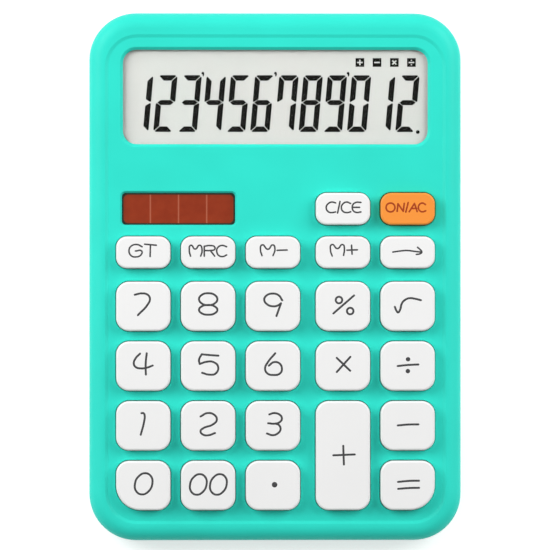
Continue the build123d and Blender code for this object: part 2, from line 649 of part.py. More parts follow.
def make_lcd_ribbon():
    """Flat ribbon from the contact ledge of the rear glass down to the board."""
    start = BOARD_REAR - RIBBON_PAD
    leave = BOARD_REAR + RIBBON_THICKNESS
    arrive = LEDGE_FRONT - RIBBON_THICKNESS
    end = LCD_FRONT - RIBBON_THICKNESS
    lower, upper = BOARD_TOP, REAR_GLASS_TOP
    bend = RIBBON_THICKNESS
    profile = Polyline((start, lower), (leave, lower), (arrive, upper), (end, upper),
                       (end, upper + RIBBON_THICKNESS), (arrive - bend, upper + RIBBON_THICKNESS),
                       (leave - bend, lower + RIBBON_THICKNESS), (start, lower + RIBBON_THICKNESS),
                       close=True)
    ribbon = extrude(Plane.YZ * make_face(profile), RIBBON_WIDTH / 2, both=True)
    return place_on_face(ribbon)


# ---------------------------------------------------------------- keyboard


def make_key(key):
    """A hollow cap with a flange that holds it under the face and a plunger over each dome."""
    cap = Pos(0, 0, FLANGE_BOTTOM) * extrude(key_outline(key), KEY_PROUD - FLANGE_BOTTOM)
    cap = fillet(cap.edges().group_by(Axis.Z)[-1], KEY_EDGE_ROUND)
    cap += Pos(0, 0, FLANGE_BOTTOM) * extrude(key_outline(key, FLANGE_REACH), FLANGE_THICKNESS)
    ceiling = KEY_PROUD - KEY_TOP_WALL
    cap -= Pos(0, 0, FLANGE_BOTTOM) * extrude(key_outline(key, -KEY_SIDE_WALL), ceiling - FLANGE_BOTTOM)
    for plunger in rods(PLUNGER_DIAMETER, FLANGE_BOTTOM, ceiling, key.cells):
        cap += plunger
    return place_on_face(cap)


def all_cells():
    """Every place with a dome: one per key, two under the tall one."""
    return [cell for key in KEYS.values() for cell in key.cells]


def field_outline(margin, corner):
    """Outline under all key cells: five columns wide, with the top row only under its keys."""
    lower_rear = GAP_Y[4]
    width = FIELD_WIDTH + 2 * margin
    front = FIELD_FRONT - margin
    lower = Pos(0, (front + lower_rear) / 2) * Rectangle(width, lower_rear - front)
    left = GAP_X[2]
    right = FIELD_WIDTH / 2 + margin
    rear = FIELD_REAR + margin
    upper = Pos((left + right) / 2, (lower_rear + rear) / 2) * Rectangle(right - left, rear - lower_rear)
    outline = lower + upper
    front_corners = outline.vertices().group_by(Axis.Y)[0]
    return fillet(front_corners, corner)


def make_keypad_mat():
    """Silicone mat with a hollow dome under each key cell."""
    mat = Pos(0, 0, BOARD_TOP) * extrude(field_outline(MAT_MARGIN, BOARD_CORNER), MAT_THICKNESS)
    dome = Pos(0, 0, (MAT_TOP + FLANGE_BOTTOM) / 2) * Cone(
        DOME_BASE / 2, DOME_TOP / 2, FLANGE_BOTTOM - MAT_TOP)
    roof = FLANGE_BOTTOM - DOME_ROOF
    hollow = Pos(0, 0, (BOARD_TOP + roof) / 2) * Cone(
        DOME_BASE / 2 - DOME_WALL, PILL_DIAMETER / 2 + DOME_WALL / 2, roof - BOARD_TOP)
    for x, y in all_cells():
        mat = mat + Pos(x, y) * dome - Pos(x, y) * hollow
    for x, y in BOARD_SCREWS:
        mat -= rod(SMALL_BOSS + 2 * MAT_HOLE_CLEARANCE, BOARD_TOP, MAT_TOP, x, y)
    return place_on_face(mat)


def make_contact_pills():
    """Carbon pills under the roofs of the domes."""
    roof = FLANGE_BOTTOM - DOME_ROOF
    pill = rod(PILL_DIAMETER, -PILL_THICKNESS, 0)
    return place_on_face(copies(pill, all_cells(), roof))


# ---------------------------------------------------------------- board and what is on it


def make_main_board():
    """Circuit board behind the mat."""
    length = BOARD_REAR - BOARD_FRONT
    outline = Pos(0, (BOARD_REAR + BOARD_FRONT) / 2) * Rectangle(2 * BOARD_HALF_WIDTH, length)
    outline = fillet(outline.vertices().group_by(Axis.Y)[0], BOARD_CORNER)
    outline = fillet(outline.vertices().group_by(Axis.Y)[-1], BOARD_REAR_CORNER)
    board = Pos(0, 0, BOARD_BOTTOM) * extrude(outline, BOARD_THICKNESS)
    for hole in rods(SMALL_SCREW + SCREW_HOLE_CLEARANCE, BOARD_BOTTOM, BOARD_TOP, BOARD_SCREWS):
        board -= hole
    return place_on_face(board)


def make_board_screws():
    """Screws from below that pull the board up against the bosses."""
    one = screw(SMALL_SCREW, BOARD_THICKNESS + (-FACE_WALL - BOARD_TOP), SMALL_SCREW_HEAD,
                SMALL_SCREW_HEAD_HEIGHT)
    return place_on_face(copies(one, BOARD_SCREWS, BOARD_BOTTOM))


def make_controller_blob():
    """Black resin blob over the controller chip, on the board's underside."""
    radius = (BLOB_DIAMETER ** 2 / 4 + BLOB_HEIGHT ** 2) / (2 * BLOB_HEIGHT)
    ball = Pos(0, 0, BOARD_BOTTOM + radius - BLOB_HEIGHT) * Sphere(radius)
    blob = ball & plate(BLOB_DIAMETER, BLOB_DIAMETER, BOARD_BOTTOM - BLOB_HEIGHT, BOARD_BOTTOM)
    return place_on_face(Pos(COLUMNS[1], GAP_Y[3]) * blob)


def make_capacitor():
    """Upright electrolytic capacitor on the board's underside."""
    can = rod(CAPACITOR_DIAMETER, BOARD_BOTTOM - CAPACITOR_HEIGHT, BOARD_BOTTOM)
    can = fillet(can.edges().group_by(Axis.Z)[0], CAPACITOR_ROUND)
    return place_on_face(Pos(COLUMNS[3], ROWS[4]) * can)


def make_board_chips():
    """Small chip resistors and capacitors in a row on the board's underside."""
    chip = plate(CHIP_LENGTH, CHIP_WIDTH, -CHIP_HEIGHT, 0)
    places = [(COLUMNS[2] + (index - (CHIP_COUNT - 1) / 2) * CHIP_SPACING, ROWS[4])
              for index in range(CHIP_COUNT)]
    return place_on_face(copies(chip, places, BOARD_BOTTOM))


def lead(points, diameter, bend):
    """A wire along straight runs joined by round bends."""
    path = FilletPolyline(*points, radius=bend)
    section = Plane(origin=path @ 0, z_dir=path % 0) * Circle(diameter / 2)
    return sweep(section, path)


def make_solar_leads():
    """Two wires from the underside of the solar cell down to the board."""
    level = SOLAR_BOTTOM - SOLAR_LEAD_DIAMETER / 2
    edge = SOLAR_X + SOLAR_WIDTH / 2 + WINDOW_OVERLAP
    wires = []
    for side in (-1, 1):
        y = SOLAR_Y + side * SOLAR_LEAD_SPACING / 2
        wires.append(lead([(edge - SOLAR_LEAD_PAD, y, level), (edge + SOLAR_LEAD_REACH, y, level),
                           (edge + SOLAR_LEAD_REACH, y, BOARD_TOP)], SOLAR_LEAD_DIAMETER, SOLAR_LEAD_BEND))
    return place_on_face(Compound(children=wires))


# ---------------------------------------------------------------- reserve cell


def make_battery_cell():
    """AAA cell that lies across the bay, its nub to the right."""
    body = rod(CELL_DIAMETER, 0, CELL_LENGTH - CELL_NUB_HEIGHT)
    body = fillet(body.edges().group_by(Axis.Z)[0] + body.edges().group_by(Axis.Z)[-1], CELL_ROUND)
    body += rod(CELL_NUB, CELL_LENGTH - CELL_NUB_HEIGHT, CELL_LENGTH)
    start = BAY_HALF_LENGTH - CONTACT_THICKNESS - CELL_LENGTH
    return Pos(start, CELL_Y, CELL_Z) * Rot(0, 90, 0) * body


def contact_plate(side):
    """Flat contact against one end wall of the bay, with a tab through the bay's front wall."""
    x = side * (BAY_HALF_LENGTH - CONTACT_THICKNESS / 2)
    contact = Pos(x, CELL_Y, CELL_Z) * Box(CONTACT_THICKNESS, CONTACT_WIDTH, CONTACT_WIDTH)
    tab_end = CELL_Y - BAY_HALF_DEPTH - BAY_WALL - TAB_LENGTH
    contact += Pos(x, (CELL_Y + tab_end) / 2, CELL_Z) * Box(CONTACT_THICKNESS, CELL_Y - tab_end, TAB_WIDTH)
    return contact


def tab_slot(side):
    """Slot in the bay's front wall for the tab of a contact."""
    middle = side * (BAY_HALF_LENGTH - CONTACT_THICKNESS / 2)
    wall_y = CELL_Y - BAY_HALF_DEPTH - BAY_WALL / 2
    return Pos(middle, wall_y, CELL_Z) * Box(CONTACT_THICKNESS + 2 * TAB_CLEARANCE, 2 * BAY_WALL,
                                             TAB_WIDTH + 2 * TAB_CLEARANCE)


def make_battery_spring():
    """Conical coil spring against the flat end of the cell, soldered to its contact plate."""
    height = SPRING_ROOM - SPRING_WIRE
    cone = degrees(atan((SPRING_LARGE - SPRING_SMALL) / 2 / height))
    path = Helix(pitch=height / SPRING_TURNS, height=height, radius=SPRING_LARGE / 2, cone_angle=-cone)
    coil = sweep(Plane(origin=path @ 0, z_dir=path % 0) * Circle(SPRING_WIRE / 2), path, is_frenet=True)
    start = -BAY_HALF_LENGTH + CONTACT_THICKNESS + SPRING_WIRE / 2
    return Pos(start, CELL_Y, CELL_Z) * Rot(0, 90, 0) * coil


def make_battery_leads():
    """Two wires from the tabs of the bay forward and up to the board's underside."""
    start = CELL_Y - BAY_HALF_DEPTH - BAY_WALL - TAB_LENGTH
    turn = BOARD_REAR - 2 * LEAD_BEND
    wires = []
    for side in (-1, 1):
        x = side * (BAY_HALF_LENGTH - CONTACT_THICKNESS - LEAD_DIAMETER / 2)
        wires.append(lead([(x, start + TAB_LENGTH / 2, CELL_Z), (x, turn, CELL_Z),
                           (x, turn, base_height(turn, BOARD_BOTTOM))], LEAD_DIAMETER, LEAD_BEND))
    return Compound(children=wires)


# ---------------------------------------------------------------- all pieces


def make_pieces():
    """Every piece by name, in the base frame."""
    outside = make_lower_outside()
    pieces = {
        "upper_case": make_upper_case(),
        "lower_case": make_lower_case(outside),
        "battery_door": make_battery_door(outside),
        "rubber_feet": make_rubber_feet(),
        "rating_label": make_rating_label(),
        "case_screws": make_case_screws(),
        "display_window": make_display_window(),
        "display_tape": tape_frame(DISPLAY_OPENING),
        "lcd_polariser": lcd_layer(LCD_FRONT, FRONT_GLASS_TOP, POLARISER_TOP),
        "lcd_front_glass": lcd_layer(LCD_FRONT, REAR_GLASS_TOP, FRONT_GLASS_TOP),
        "lcd_rear_glass": lcd_layer(LEDGE_FRONT, REFLECTOR_TOP, REAR_GLASS_TOP),
        "lcd_reflector": lcd_layer(LEDGE_FRONT, BRACKET_TOP, REFLECTOR_TOP),
        "lcd_bracket": make_lcd_bracket(),
        "bracket_screws": make_bracket_screws(),
        "lcd_ribbon": make_lcd_ribbon(),
        "solar_cell": make_solar_cell(),
        "solar_tape": tape_frame(SOLAR_OPENING),
        "solar_leads": make_solar_leads(),
        "keypad_mat": make_keypad_mat(),
        "contact_pills": make_contact_pills(),
        "main_board": make_main_board(),
        "board_screws": make_board_screws(),
        "controller_blob": make_controller_blob(),
        "capacitor": make_capacitor(),
        "board_chips": make_board_chips(),
        "battery_cell": make_battery_cell(),
        "battery_spring": make_battery_spring(),
        "spring_contact": contact_plate(-1),
        "nub_contact": contact_plate(1),
        "battery_leads": make_battery_leads(),
    }
    for name, key in KEYS.items():
        pieces[name] = make_key(key)
    return pieces


PIECES = make_pieces()

# Stand the calculator on its feet, with the middle of its outline at the origin
CASE_BOX = (PIECES["upper_case"] + PIECES["lower_case"]).bounding_box()
MIDDLE_Y = (CASE_BOX.min.Y + CASE_BOX.max.Y) / 2
DESK_FRAME = Pos(0, -MIDDLE_Y, FOOT_PROUD)

os.makedirs("parts", exist_ok=True)
for piece_name, piece in PIECES.items():
    export_step(DESK_FRAME * piece, "parts/" + piece_name + ".step")
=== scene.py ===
import json
import math

import bpy
from mathutils import Matrix, Vector


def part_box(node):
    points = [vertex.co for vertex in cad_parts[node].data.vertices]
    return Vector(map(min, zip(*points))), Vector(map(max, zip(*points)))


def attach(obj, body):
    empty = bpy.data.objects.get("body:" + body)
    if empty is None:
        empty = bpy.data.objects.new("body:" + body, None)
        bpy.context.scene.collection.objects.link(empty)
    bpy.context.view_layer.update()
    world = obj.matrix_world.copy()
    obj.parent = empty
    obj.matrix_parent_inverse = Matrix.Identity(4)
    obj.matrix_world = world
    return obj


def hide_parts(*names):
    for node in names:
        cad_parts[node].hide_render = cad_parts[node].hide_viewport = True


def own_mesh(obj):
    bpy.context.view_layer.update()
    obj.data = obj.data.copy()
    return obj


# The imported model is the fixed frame: every CAD piece stands where the assembly has it.
# The keyboard and the display lie on a sloping face, and a key's own travel gives its normal.
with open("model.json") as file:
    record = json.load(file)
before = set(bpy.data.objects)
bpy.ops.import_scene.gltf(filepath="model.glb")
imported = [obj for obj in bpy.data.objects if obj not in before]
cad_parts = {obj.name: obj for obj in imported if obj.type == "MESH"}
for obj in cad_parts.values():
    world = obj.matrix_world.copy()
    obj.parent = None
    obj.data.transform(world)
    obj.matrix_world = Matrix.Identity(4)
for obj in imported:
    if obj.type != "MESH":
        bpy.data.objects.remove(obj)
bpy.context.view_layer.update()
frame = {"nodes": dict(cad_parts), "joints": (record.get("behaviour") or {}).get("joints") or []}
bpy.ops.object.select_all(action="DESELECT")

MM = 0.001
nodes = frame["nodes"]
face_normal = Vector(frame["joints"][0]["axis"]).normalized()
face_right = Vector((1, 0, 0))
face_up = face_normal.cross(face_right)


def face_spot(node):
    """Middle of a CAD piece along the face, at the level of its top."""
    corners = [vertex.co for vertex in nodes[node].data.vertices]
    across = [corner.dot(face_right) for corner in corners]
    along = [corner.dot(face_up) for corner in corners]
    level = max(corner.dot(face_normal) for corner in corners)
    middle_x = (min(across) + max(across)) / 2
    middle_y = (min(along) + max(along)) / 2
    return face_right * middle_x + face_up * middle_y + face_normal * level


def select_only(piece):
    """Make a piece the only one that the next operator works on."""
    bpy.ops.object.select_all(action="DESELECT")
    piece.select_set(True)
    bpy.context.view_layer.objects.active = piece


def edit_whole(piece):
    """Open a piece's mesh with everything in it selected."""
    select_only(piece)
    bpy.ops.object.mode_set(mode="EDIT")
    bpy.ops.mesh.select_all(action="SELECT")


def bake_place(piece, place):
    """Move a piece and put its place into its mesh, so that it stands at the origin again."""
    select_only(piece)
    piece.matrix_world = place
    bpy.ops.object.transform_apply(location=True, rotation=True, scale=True)


def lay_on_face(piece, spot):
    """Turn a piece drawn flat about the origin onto the sloping face."""
    turn = Matrix((face_right, face_up, face_normal)).transposed().to_4x4()
    bake_place(piece, Matrix.Translation(spot) @ turn)


# ---------------------------------------------------------------- case shells
# Two shells and a sliding door, injection moulded in turquoise ABS. The tool surface is polished
# satin: a very fine grain breaks up the shine, and the melt flow leaves faint cloudy differences.
CASE_TURQUOISE = (0.030, 0.750, 0.610)
CASE_ROUGHNESS = 0.45
CLOUD_SIZE = 18 * MM
PATCH_SIZE = 6 * MM
PATCH_RANGE = 0.04
GRAIN_SIZE = 0.35 * MM
GRAIN_DEPTH = 0.004 * MM
PLASTIC_IOR = 1.5


def new_finish(name, colour, roughness):
    """A material with one Principled shader, and the nodes that read the piece's own coordinates."""
    material = bpy.data.materials.new(name)
    material.use_nodes = True
    shader = material.node_tree.nodes["Principled BSDF"]
    shader.inputs["Base Color"].default_value = (*colour, 1)
    shader.inputs["Roughness"].default_value = roughness
    place = material.node_tree.nodes.new("ShaderNodeTexCoord")
    return material, shader, place.outputs["Object"]


def noise(material, place, size, detail=2.0):
    """Cloudy pattern whose patches are about this size."""
    pattern = material.node_tree.nodes.new("ShaderNodeTexNoise")
    pattern.inputs["Scale"].default_value = 1 / size
    pattern.inputs["Detail"].default_value = detail
    material.node_tree.links.new(place, pattern.inputs["Vector"])
    return pattern.outputs["Fac"]


def spread(material, source, low, high, start=0.3, end=0.7):
    """Turn a pattern into a value between low and high."""
    scale = material.node_tree.nodes.new("ShaderNodeMapRange")
    scale.inputs["From Min"].default_value = start
    scale.inputs["From Max"].default_value = end
    scale.inputs["To Min"].default_value = low
    scale.inputs["To Max"].default_value = high
    material.node_tree.links.new(source, scale.inputs["Value"])
    return scale.outputs["Result"]


def blend_colours(material, factor, first, second):
    """Mix two colours by a pattern."""
    mix = material.node_tree.nodes.new("ShaderNodeMix")
    mix.data_type = "RGBA"
    mix.inputs["A"].default_value = (*first, 1)
    mix.inputs["B"].default_value = (*second, 1)
    material.node_tree.links.new(factor, mix.inputs["Factor"])
    return mix.outputs["Result"]


def grain(material, shader, source, depth):
    """Raise and lower the surface by a pattern."""
    bump = material.node_tree.nodes.new("ShaderNodeBump")
    bump.inputs["Distance"].default_value = depth
    bump.inputs["Strength"].default_value = 1.0
    material.node_tree.links.new(source, bump.inputs["Height"])
    material.node_tree.links.new(bump.outputs["Normal"], shader.inputs["Normal"])


def moulded_plastic(name, colour, roughness, shine, cloud):
    """Satin moulded plastic with faint cloudiness and a fine grain."""
    material, shader, place = new_finish(name, colour, roughness)
    clouds = noise(material, place, CLOUD_SIZE)
    darker = tuple(channel * (1 - cloud) for channel in colour)
    lighter = tuple(min(1.0, channel * (1 + cloud)) for channel in colour)
    links = material.node_tree.links
    links.new(blend_colours(material, spread(material, clouds, 0, 1), darker, lighter),
              shader.inputs["Base Color"])
    patches = noise(material, place, PATCH_SIZE)
    links.new(spread(material, patches, roughness - PATCH_RANGE, roughness + PATCH_RANGE),
              shader.inputs["Roughness"])
    grain(material, shader, noise(material, place, GRAIN_SIZE), GRAIN_DEPTH)
    shader.inputs["IOR"].default_value = PLASTIC_IOR
    shader.inputs["Specular IOR Level"].default_value = shine
    return material


def dress(material, *names):
    """Give CAD pieces a finish."""
    for name in names:
        nodes[name].data.materials.clear()
        nodes[name].data.materials.append(material)


case_plastic = moulded_plastic("turquoise_plastic", CASE_TURQUOISE, CASE_ROUGHNESS, shine=0.16, cloud=0.03)
dress(case_plastic, "upper_case", "lower_case", "battery_door")

# ---------------------------------------------------------------- key caps
# Hollow caps moulded in white ABS, one of them in orange. Each cap is polished a little more than
# the case, and goes down with its own joint.
WHITE_CAP = (0.90, 0.90, 0.895)
ORANGE_CAP = (0.95, 0.315, 0.049)
CAP_ROUGHNESS = 0.34
CAP_SHINE = 0.2

key_names = [name for name in nodes if name.startswith("key_")]
white_plastic = moulded_plastic("white_key_plastic", WHITE_CAP, CAP_ROUGHNESS, CAP_SHINE, cloud=0.008)
orange_plastic = moulded_plastic("orange_key_plastic", ORANGE_CAP, CAP_ROUGHNESS, CAP_SHINE, cloud=0.015)
dress(white_plastic, *key_names)
dress(orange_plastic, "key_on")

# ---------------------------------------------------------------- key legends
# Pad-printed ink, 0.03 mm high, in a thin hand-drawn line of even width with round ends.
# Each legend is drawn by strokes in millimetres from the middle of its cap and goes down with it.
INK_GREY = (0.052, 0.052, 0.054)
INK_BROWN = (0.33, 0.046, 0.011)
INK_HEIGHT = 0.03
LARGE_STROKE = 0.59
SMALL_STROKE = 0.47
BOLD_STROKE = 0.48
LEGEND_SCALE = 0.96
LARGE_KEY = 12 * MM
END_SEGMENTS = 12
END_RINGS = 8
THIN_INK = 1.35


def curve_through(*points):
    """A smooth open stroke."""
    return {"points": points, "closed": False}


def ring(x, y, width, height, lean=0.0):
    """A closed oval that leans to the right by this much of its height."""
    points = []
    for step in range(8):
        turn = math.radians(45 * step)
        along = height / 2 * math.sin(turn)
        points.append((x + width / 2 * math.cos(turn) + lean * along, y + along))
    return {"points": points, "closed": True}


def dot(x, y, size):
    """A round dot, as a very short stroke of its own width."""
    return {"points": ((x, y),), "closed": False, "size": size}


ZERO_LEAN = 0.16
LEGENDS = {
    "key_7": [curve_through((-2.5, 3.4), (-0.5, 3.8), (1.3, 3.4), (1.95, 2.2), (1.3, 0.55), (-1.6, -2.6))],
    "key_8": [ring(0, 2.1, 5.4, 3.5), ring(0, -1.04, 5.4, 2.86)],
    "key_9": [
        curve_through((2.7, 1.75), (1.7, 3.2), (-0.1, 3.75), (-1.95, 3.15), (-2.6, 1.9), (-1.7, 0.55),
                      (0.1, 0.0), (1.5, 0.3), (2.35, 0.9)),
        curve_through((2.35, 0.9), (1.7, -0.9), (1.0, -2.85)),
    ],
    "key_4": [
        curve_through((-0.95, 3.67), (-2.3, 2.22), (-2.8, 0.77), (-2.3, -0.23), (-0.5, -0.68), (1.3, -0.38),
                      (2.75, 0.17)),
        curve_through((1.0, 3.77), (0.7, 0.77), (0.75, -2.48)),
    ],
    "key_5": [
        curve_through((-1.9, 3.47), (-2.7, 1.87), (-2.5, 0.62)),
        curve_through((-2.5, 0.62), (-0.45, 1.27), (1.55, 1.17), (2.9, -0.13), (2.25, -2.13), (0.45, -2.53),
                      (-1.8, -1.98)),
        curve_through((-1.9, 3.47), (0.65, 3.22), (3.0, 3.07)),
    ],
    "key_6": [
        curve_through((0.65, 3.77), (-1.5, 1.17), (-2.35, -0.68), (-1.7, -2.13), (0.2, -2.63), (2.1, -2.13),
                      (2.6, -0.68), (1.9, 0.77), (0.3, 1.17), (-1.25, 0.12)),
    ],
    "key_1": [curve_through((-0.55, 3.75), (0.1, 3.7), (0.4, 3.0), (0.2, 1.1), (-0.75, -2.6))],
    "key_2": [
        curve_through((-2.25, 2.75), (-0.25, 3.75), (1.7, 3.3), (2.55, 1.85), (1.35, 0.4), (-1.35, -0.65),
                      (-2.25, -1.55), (-1.55, -2.55), (0.1, -2.75), (2.0, -2.1)),
    ],
    "key_3": [
        curve_through((-1.1, 3.35), (0.3, 3.75), (2.1, 3.15), (2.6, 2.05), (1.9, 1.05), (0.65, 0.65),
                      (-1.45, 0.75)),
        curve_through((0.65, 0.65), (1.7, 0.25), (2.2, -1.05), (1.35, -2.25), (-0.1, -2.75), (-1.8, -2.25)),
    ],
    "key_0": [ring(0.1, 0.55, 5.1, 6.25, ZERO_LEAN)],
    "key_00": [ring(-2.9, 0.35, 4.85, 6.05, ZERO_LEAN), ring(3.0, 0.35, 4.85, 6.05, ZERO_LEAN)],
    "key_point": [dot(0.45, 0.25, 1.6)],
    "key_grand_total": [
        curve_through((-0.35, 1.65), (-1.8, 2.3), (-3.6, 1.8), (-4.2, 0.5), (-3.6, -0.95), (-2.15, -1.35),
                      (-0.7, -0.75), (-0.45, 0.35), (-2.3, 0.4)),
        curve_through((0.4, 2.4), (3.8, 2.1)),
        curve_through((2.1, 2.2), (2.0, -1.2)),
    ],
    "key_memory_recall": [
        curve_through((-5.2, -1.1), (-5.55, 0.5), (-5.1, 2.1), (-3.85, 0.95), (-2.45, 2.1), (-1.8, 0.5),
                      (-2.2, -1.1)),
        curve_through((-1.15, 1.8), (-1.15, -1.1)),
        curve_through((-1.15, 1.8), (0.45, 2.0), (1.9, 1.6), (1.9, 0.9), (0.65, 0.55), (-1.0, 0.55)),
        curve_through((0.65, 0.5), (1.9, -1.1)),
        curve_through((5.4, 1.65), (4.05, 2.05), (2.8, 1.4), (2.5, 0.35), (3.15, -0.95), (4.45, -1.2),
                      (5.4, -0.75)),
    ],
    "key_memory_minus": [
        curve_through((-3.25, -0.95), (-3.7, 0.7), (-3.25, 2.2), (-1.5, 0.9), (0, 2.2), (0.55, 0.9),
                      (0, -0.95)),
        curve_through((1.2, 0.6), (4.15, 0.7)),
    ],
    "key_memory_plus": [
        curve_through((-3.2, -1.05), (-3.7, 0.6), (-3.3, 2.3), (-1.65, 1.1), (-0.1, 2.3), (0.4, 0.85),
                      (0.15, -0.85)),
        curve_through((1.15, 0.65), (4.2, 0.75)),
        curve_through((2.5, 2.1), (2.65, -0.5)),
    ],
    "key_backspace": [
        curve_through((-4.4, 0.1), (-1.9, 0.45), (-0.1, 0.55), (2.0, 0.3), (3.7, 0.1)),
        curve_through((2.85, 1.5), (3.6, 0.85), (4.1, 0.05), (3.6, -0.4), (2.5, -0.6)),
    ],
    "key_clear": [
        curve_through((-2.2, 1.73), (-3.35, 1.98), (-4.55, 1.33), (-4.95, 0.18), (-4.25, -0.92),
                      (-3.2, -1.12), (-2.2, -0.92)),
        curve_through((-0.9, 2.13), (-1.6, -1.22)),
        curve_through((2.2, 1.58), (0.95, 1.98), (-0.15, 1.33), (-0.5, 0.28), (0.05, -0.82), (1.2, -1.12),
                      (2.25, -0.87)),
        curve_through((5.25, 1.88), (3.8, 1.88), (2.9, 1.23), (2.7, 0.43), (3.05, -0.62), (3.95, -1.07),
                      (5.25, -0.92)),
        curve_through((2.75, 0.43), (4.85, 0.43)),
    ],
    "key_on": [
        ring(-5.1, 0.4, 2.6, 2.6),
        curve_through((-3.15, -0.75), (-2.9, 1.5)),
        curve_through((-2.9, 1.5), (-1.35, -0.75)),
        curve_through((-1.35, -0.75), (-1.05, 1.6)),
        curve_through((0.1, 1.85), (-0.6, -0.95)),
        curve_through((0.4, -0.85), (1.95, 1.6)),
        curve_through((1.95, 1.6), (2.75, -0.8)),
        curve_through((1.0, 0.1), (2.6, 0.1)),
        curve_through((5.2, 1.25), (4.3, 1.7), (3.4, 1.25), (3.1, 0.35), (3.6, -0.65), (4.5, -0.85),
                      (5.25, -0.55)),
    ],
    "key_percent": [curve_through((3.25, 3.2), (-2.85, -2.1)), ring(-1.2, 1.85, 1.9, 1.9),
                    ring(2.1, -1.4, 1.9, 1.9)],
    "key_root": [
        curve_through((-3.85, -0.15), (-3.3, -1.4), (-2.9, -1.8), (-2.35, -1.15), (-1.7, 0.95),
                      (-0.65, 2.0), (0.65, 2.4), (2.2, 2.2), (3.85, 1.8)),
    ],
    "key_times": [curve_through((-1.85, 2.4), (2.1, -1.4)), curve_through((2.15, 2.7), (-1.85, -1.75))],
    "key_divide": [curve_through((-3.0, 0.0), (-0.05, 0.3), (3.1, 0.45)), dot(0.05, 2.0, 1.3),
                   dot(0.0, -1.5, 1.3)],
    "key_minus": [curve_through((-2.95, 0.1), (0.1, 0.35), (3.1, 0.4))],
    "key_plus": [curve_through((-2.85, 0.1), (3.45, 0.35)), curve_through((0.05, 2.9), (0.25, -2.6))],
    "key_equals": [curve_through((-2.9, 1.05), (0.4, 1.35), (3.3, 1.4)),
                   curve_through((-2.85, -1.0), (0.4, -0.75), (3.3, -0.7))],
}


def printing_ink(name, colour):
    """Matt ink that takes unevenly, so its tone and its surface vary a little."""
    material, shader, place = new_finish(name, colour, 0.55)
    patches = spread(material, noise(material, place, 0.6 * MM), 0, 1)
    thin = tuple(min(1.0, channel * THIN_INK) for channel in colour)
    material.node_tree.links.new(blend_colours(material, patches, colour, thin),
                                 shader.inputs["Base Color"])
    grain(material, shader, noise(material, place, 0.15 * MM), 0.003 * MM)
    shader.inputs["Specular IOR Level"].default_value = 0.12
    return material


def add_strokes(curve, strokes):
    """Lay every stroke of a legend as a spline, and return the round ends that it needs."""
    ends = []
    for stroke in strokes:
        points = stroke["points"]
        if len(points) == 1:
            ends.append((*points[0], stroke["size"]))
            continue
        spline = curve.splines.new("BEZIER")
        spline.bezier_points.add(len(points) - 1)
        spline.use_cyclic_u = stroke["closed"]
        spline.resolution_u = 6
        for knot, (x, y) in zip(spline.bezier_points, points):
            knot.co = (x * LEGEND_SCALE * MM, y * LEGEND_SCALE * MM, 0)
            knot.handle_left_type = knot.handle_right_type = "AUTO"
        if not stroke["closed"]:
            ends += [(*points[0], None), (*points[-1], None)]
    return ends


def print_legend(key, strokes, width, ink):
    """Draw a legend flat about the origin, flatten it to a film of ink and lay it on its cap."""
    curve = bpy.data.curves.new("legend_" + key, "CURVE")
    curve.dimensions = "3D"
    curve.bevel_depth = width / 2 * MM
    curve.bevel_resolution = 2
    curve.use_fill_caps = True
    ends = add_strokes(curve, strokes)
    legend = bpy.data.objects.new("legend_" + key, curve)
    bpy.context.collection.objects.link(legend)
    select_only(legend)
    bpy.ops.object.convert(target="MESH")
    round_ends = []
    for x, y, size in dict.fromkeys(ends):
        bpy.ops.mesh.primitive_uv_sphere_add(segments=END_SEGMENTS, ring_count=END_RINGS,
                                             radius=(size or width) / 2 * MM,
                                             location=(x * LEGEND_SCALE * MM, y * LEGEND_SCALE * MM, 0))
        round_ends.append(bpy.context.object)
    select_only(legend)
    for piece in round_ends:
        piece.select_set(True)
    if round_ends:
        bpy.ops.object.join()
    thickest = max(vertex.co.z for vertex in legend.data.vertices)
    edit_whole(legend)
    bpy.ops.transform.resize(value=(1, 1, INK_HEIGHT * MM / thickest), center_override=(0, 0, 0))
    bpy.ops.object.mode_set(mode="OBJECT")
    bpy.ops.object.shade_smooth_by_angle(angle=math.radians(60))
    legend.data.materials.clear()
    legend.data.materials.append(ink)
    lay_on_face(legend, face_spot(key))
    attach(legend, "moving_" + key)


grey_ink = printing_ink("grey_ink", INK_GREY)
brown_ink = printing_ink("brown_ink", INK_BROWN)
for key, strokes in LEGENDS.items():
    low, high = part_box(key)
    if key == "key_on":
        print_legend(key, strokes, BOLD_STROKE, brown_ink)
    else:
        print_legend(key, strokes, LARGE_STROKE if high.y - low.y > LARGE_KEY else SMALL_STROKE, grey_ink)

# ---------------------------------------------------------------- display
# A clear acrylic window is taped behind the face. Under it lies the display glass, whose pale
# polariser shows the dark segments; the reflector and the second glass are hidden below.
POLARISER_GREY = (0.446, 0.458, 0.435)
POLARISER_WARM = (0.457, 0.452, 0.434)
SEGMENT_BLACK = (0.004, 0.004, 0.0035)
SEGMENT_WARM = (0.006, 0.006, 0.005)
SEGMENT_FILM = 0.03
DIGITS = "123456789012"
DIGIT_WIDTH = 5.5
DIGIT_HEIGHT = 16.06
DIGIT_PITCH = 6.85
DIGIT_LEAN = 0.09
DIGIT_LEFT = -41.4
DIGIT_BOTTOM = -9.85
BAR = 1.56
MIDDLE = 8.32
MIDDLE_BAR = 1.42
MIDDLE_INSET = 0.45
MIDDLE_POINT = 0.85
MITRE = 0.13
CORNER_CUT = 0.56
SPLIT_OUTER = 0.35
SPLIT_INNER = 0.95
SPLIT_POINT = (0.3, 0.16)
LIT_SEGMENTS = {"0": "abcdef", "1": "bc", "2": "abged", "3": "abgcd", "4": "fgbc", "5": "afgcd",
                "6": "afgecd", "7": "fabc", "8": "abcdefg", "9": "abcdfg"}
TICKS_AFTER = (3, 6, 9)
TICK_RIGHT = 0.28
TICK_HEIGHT = 6.55
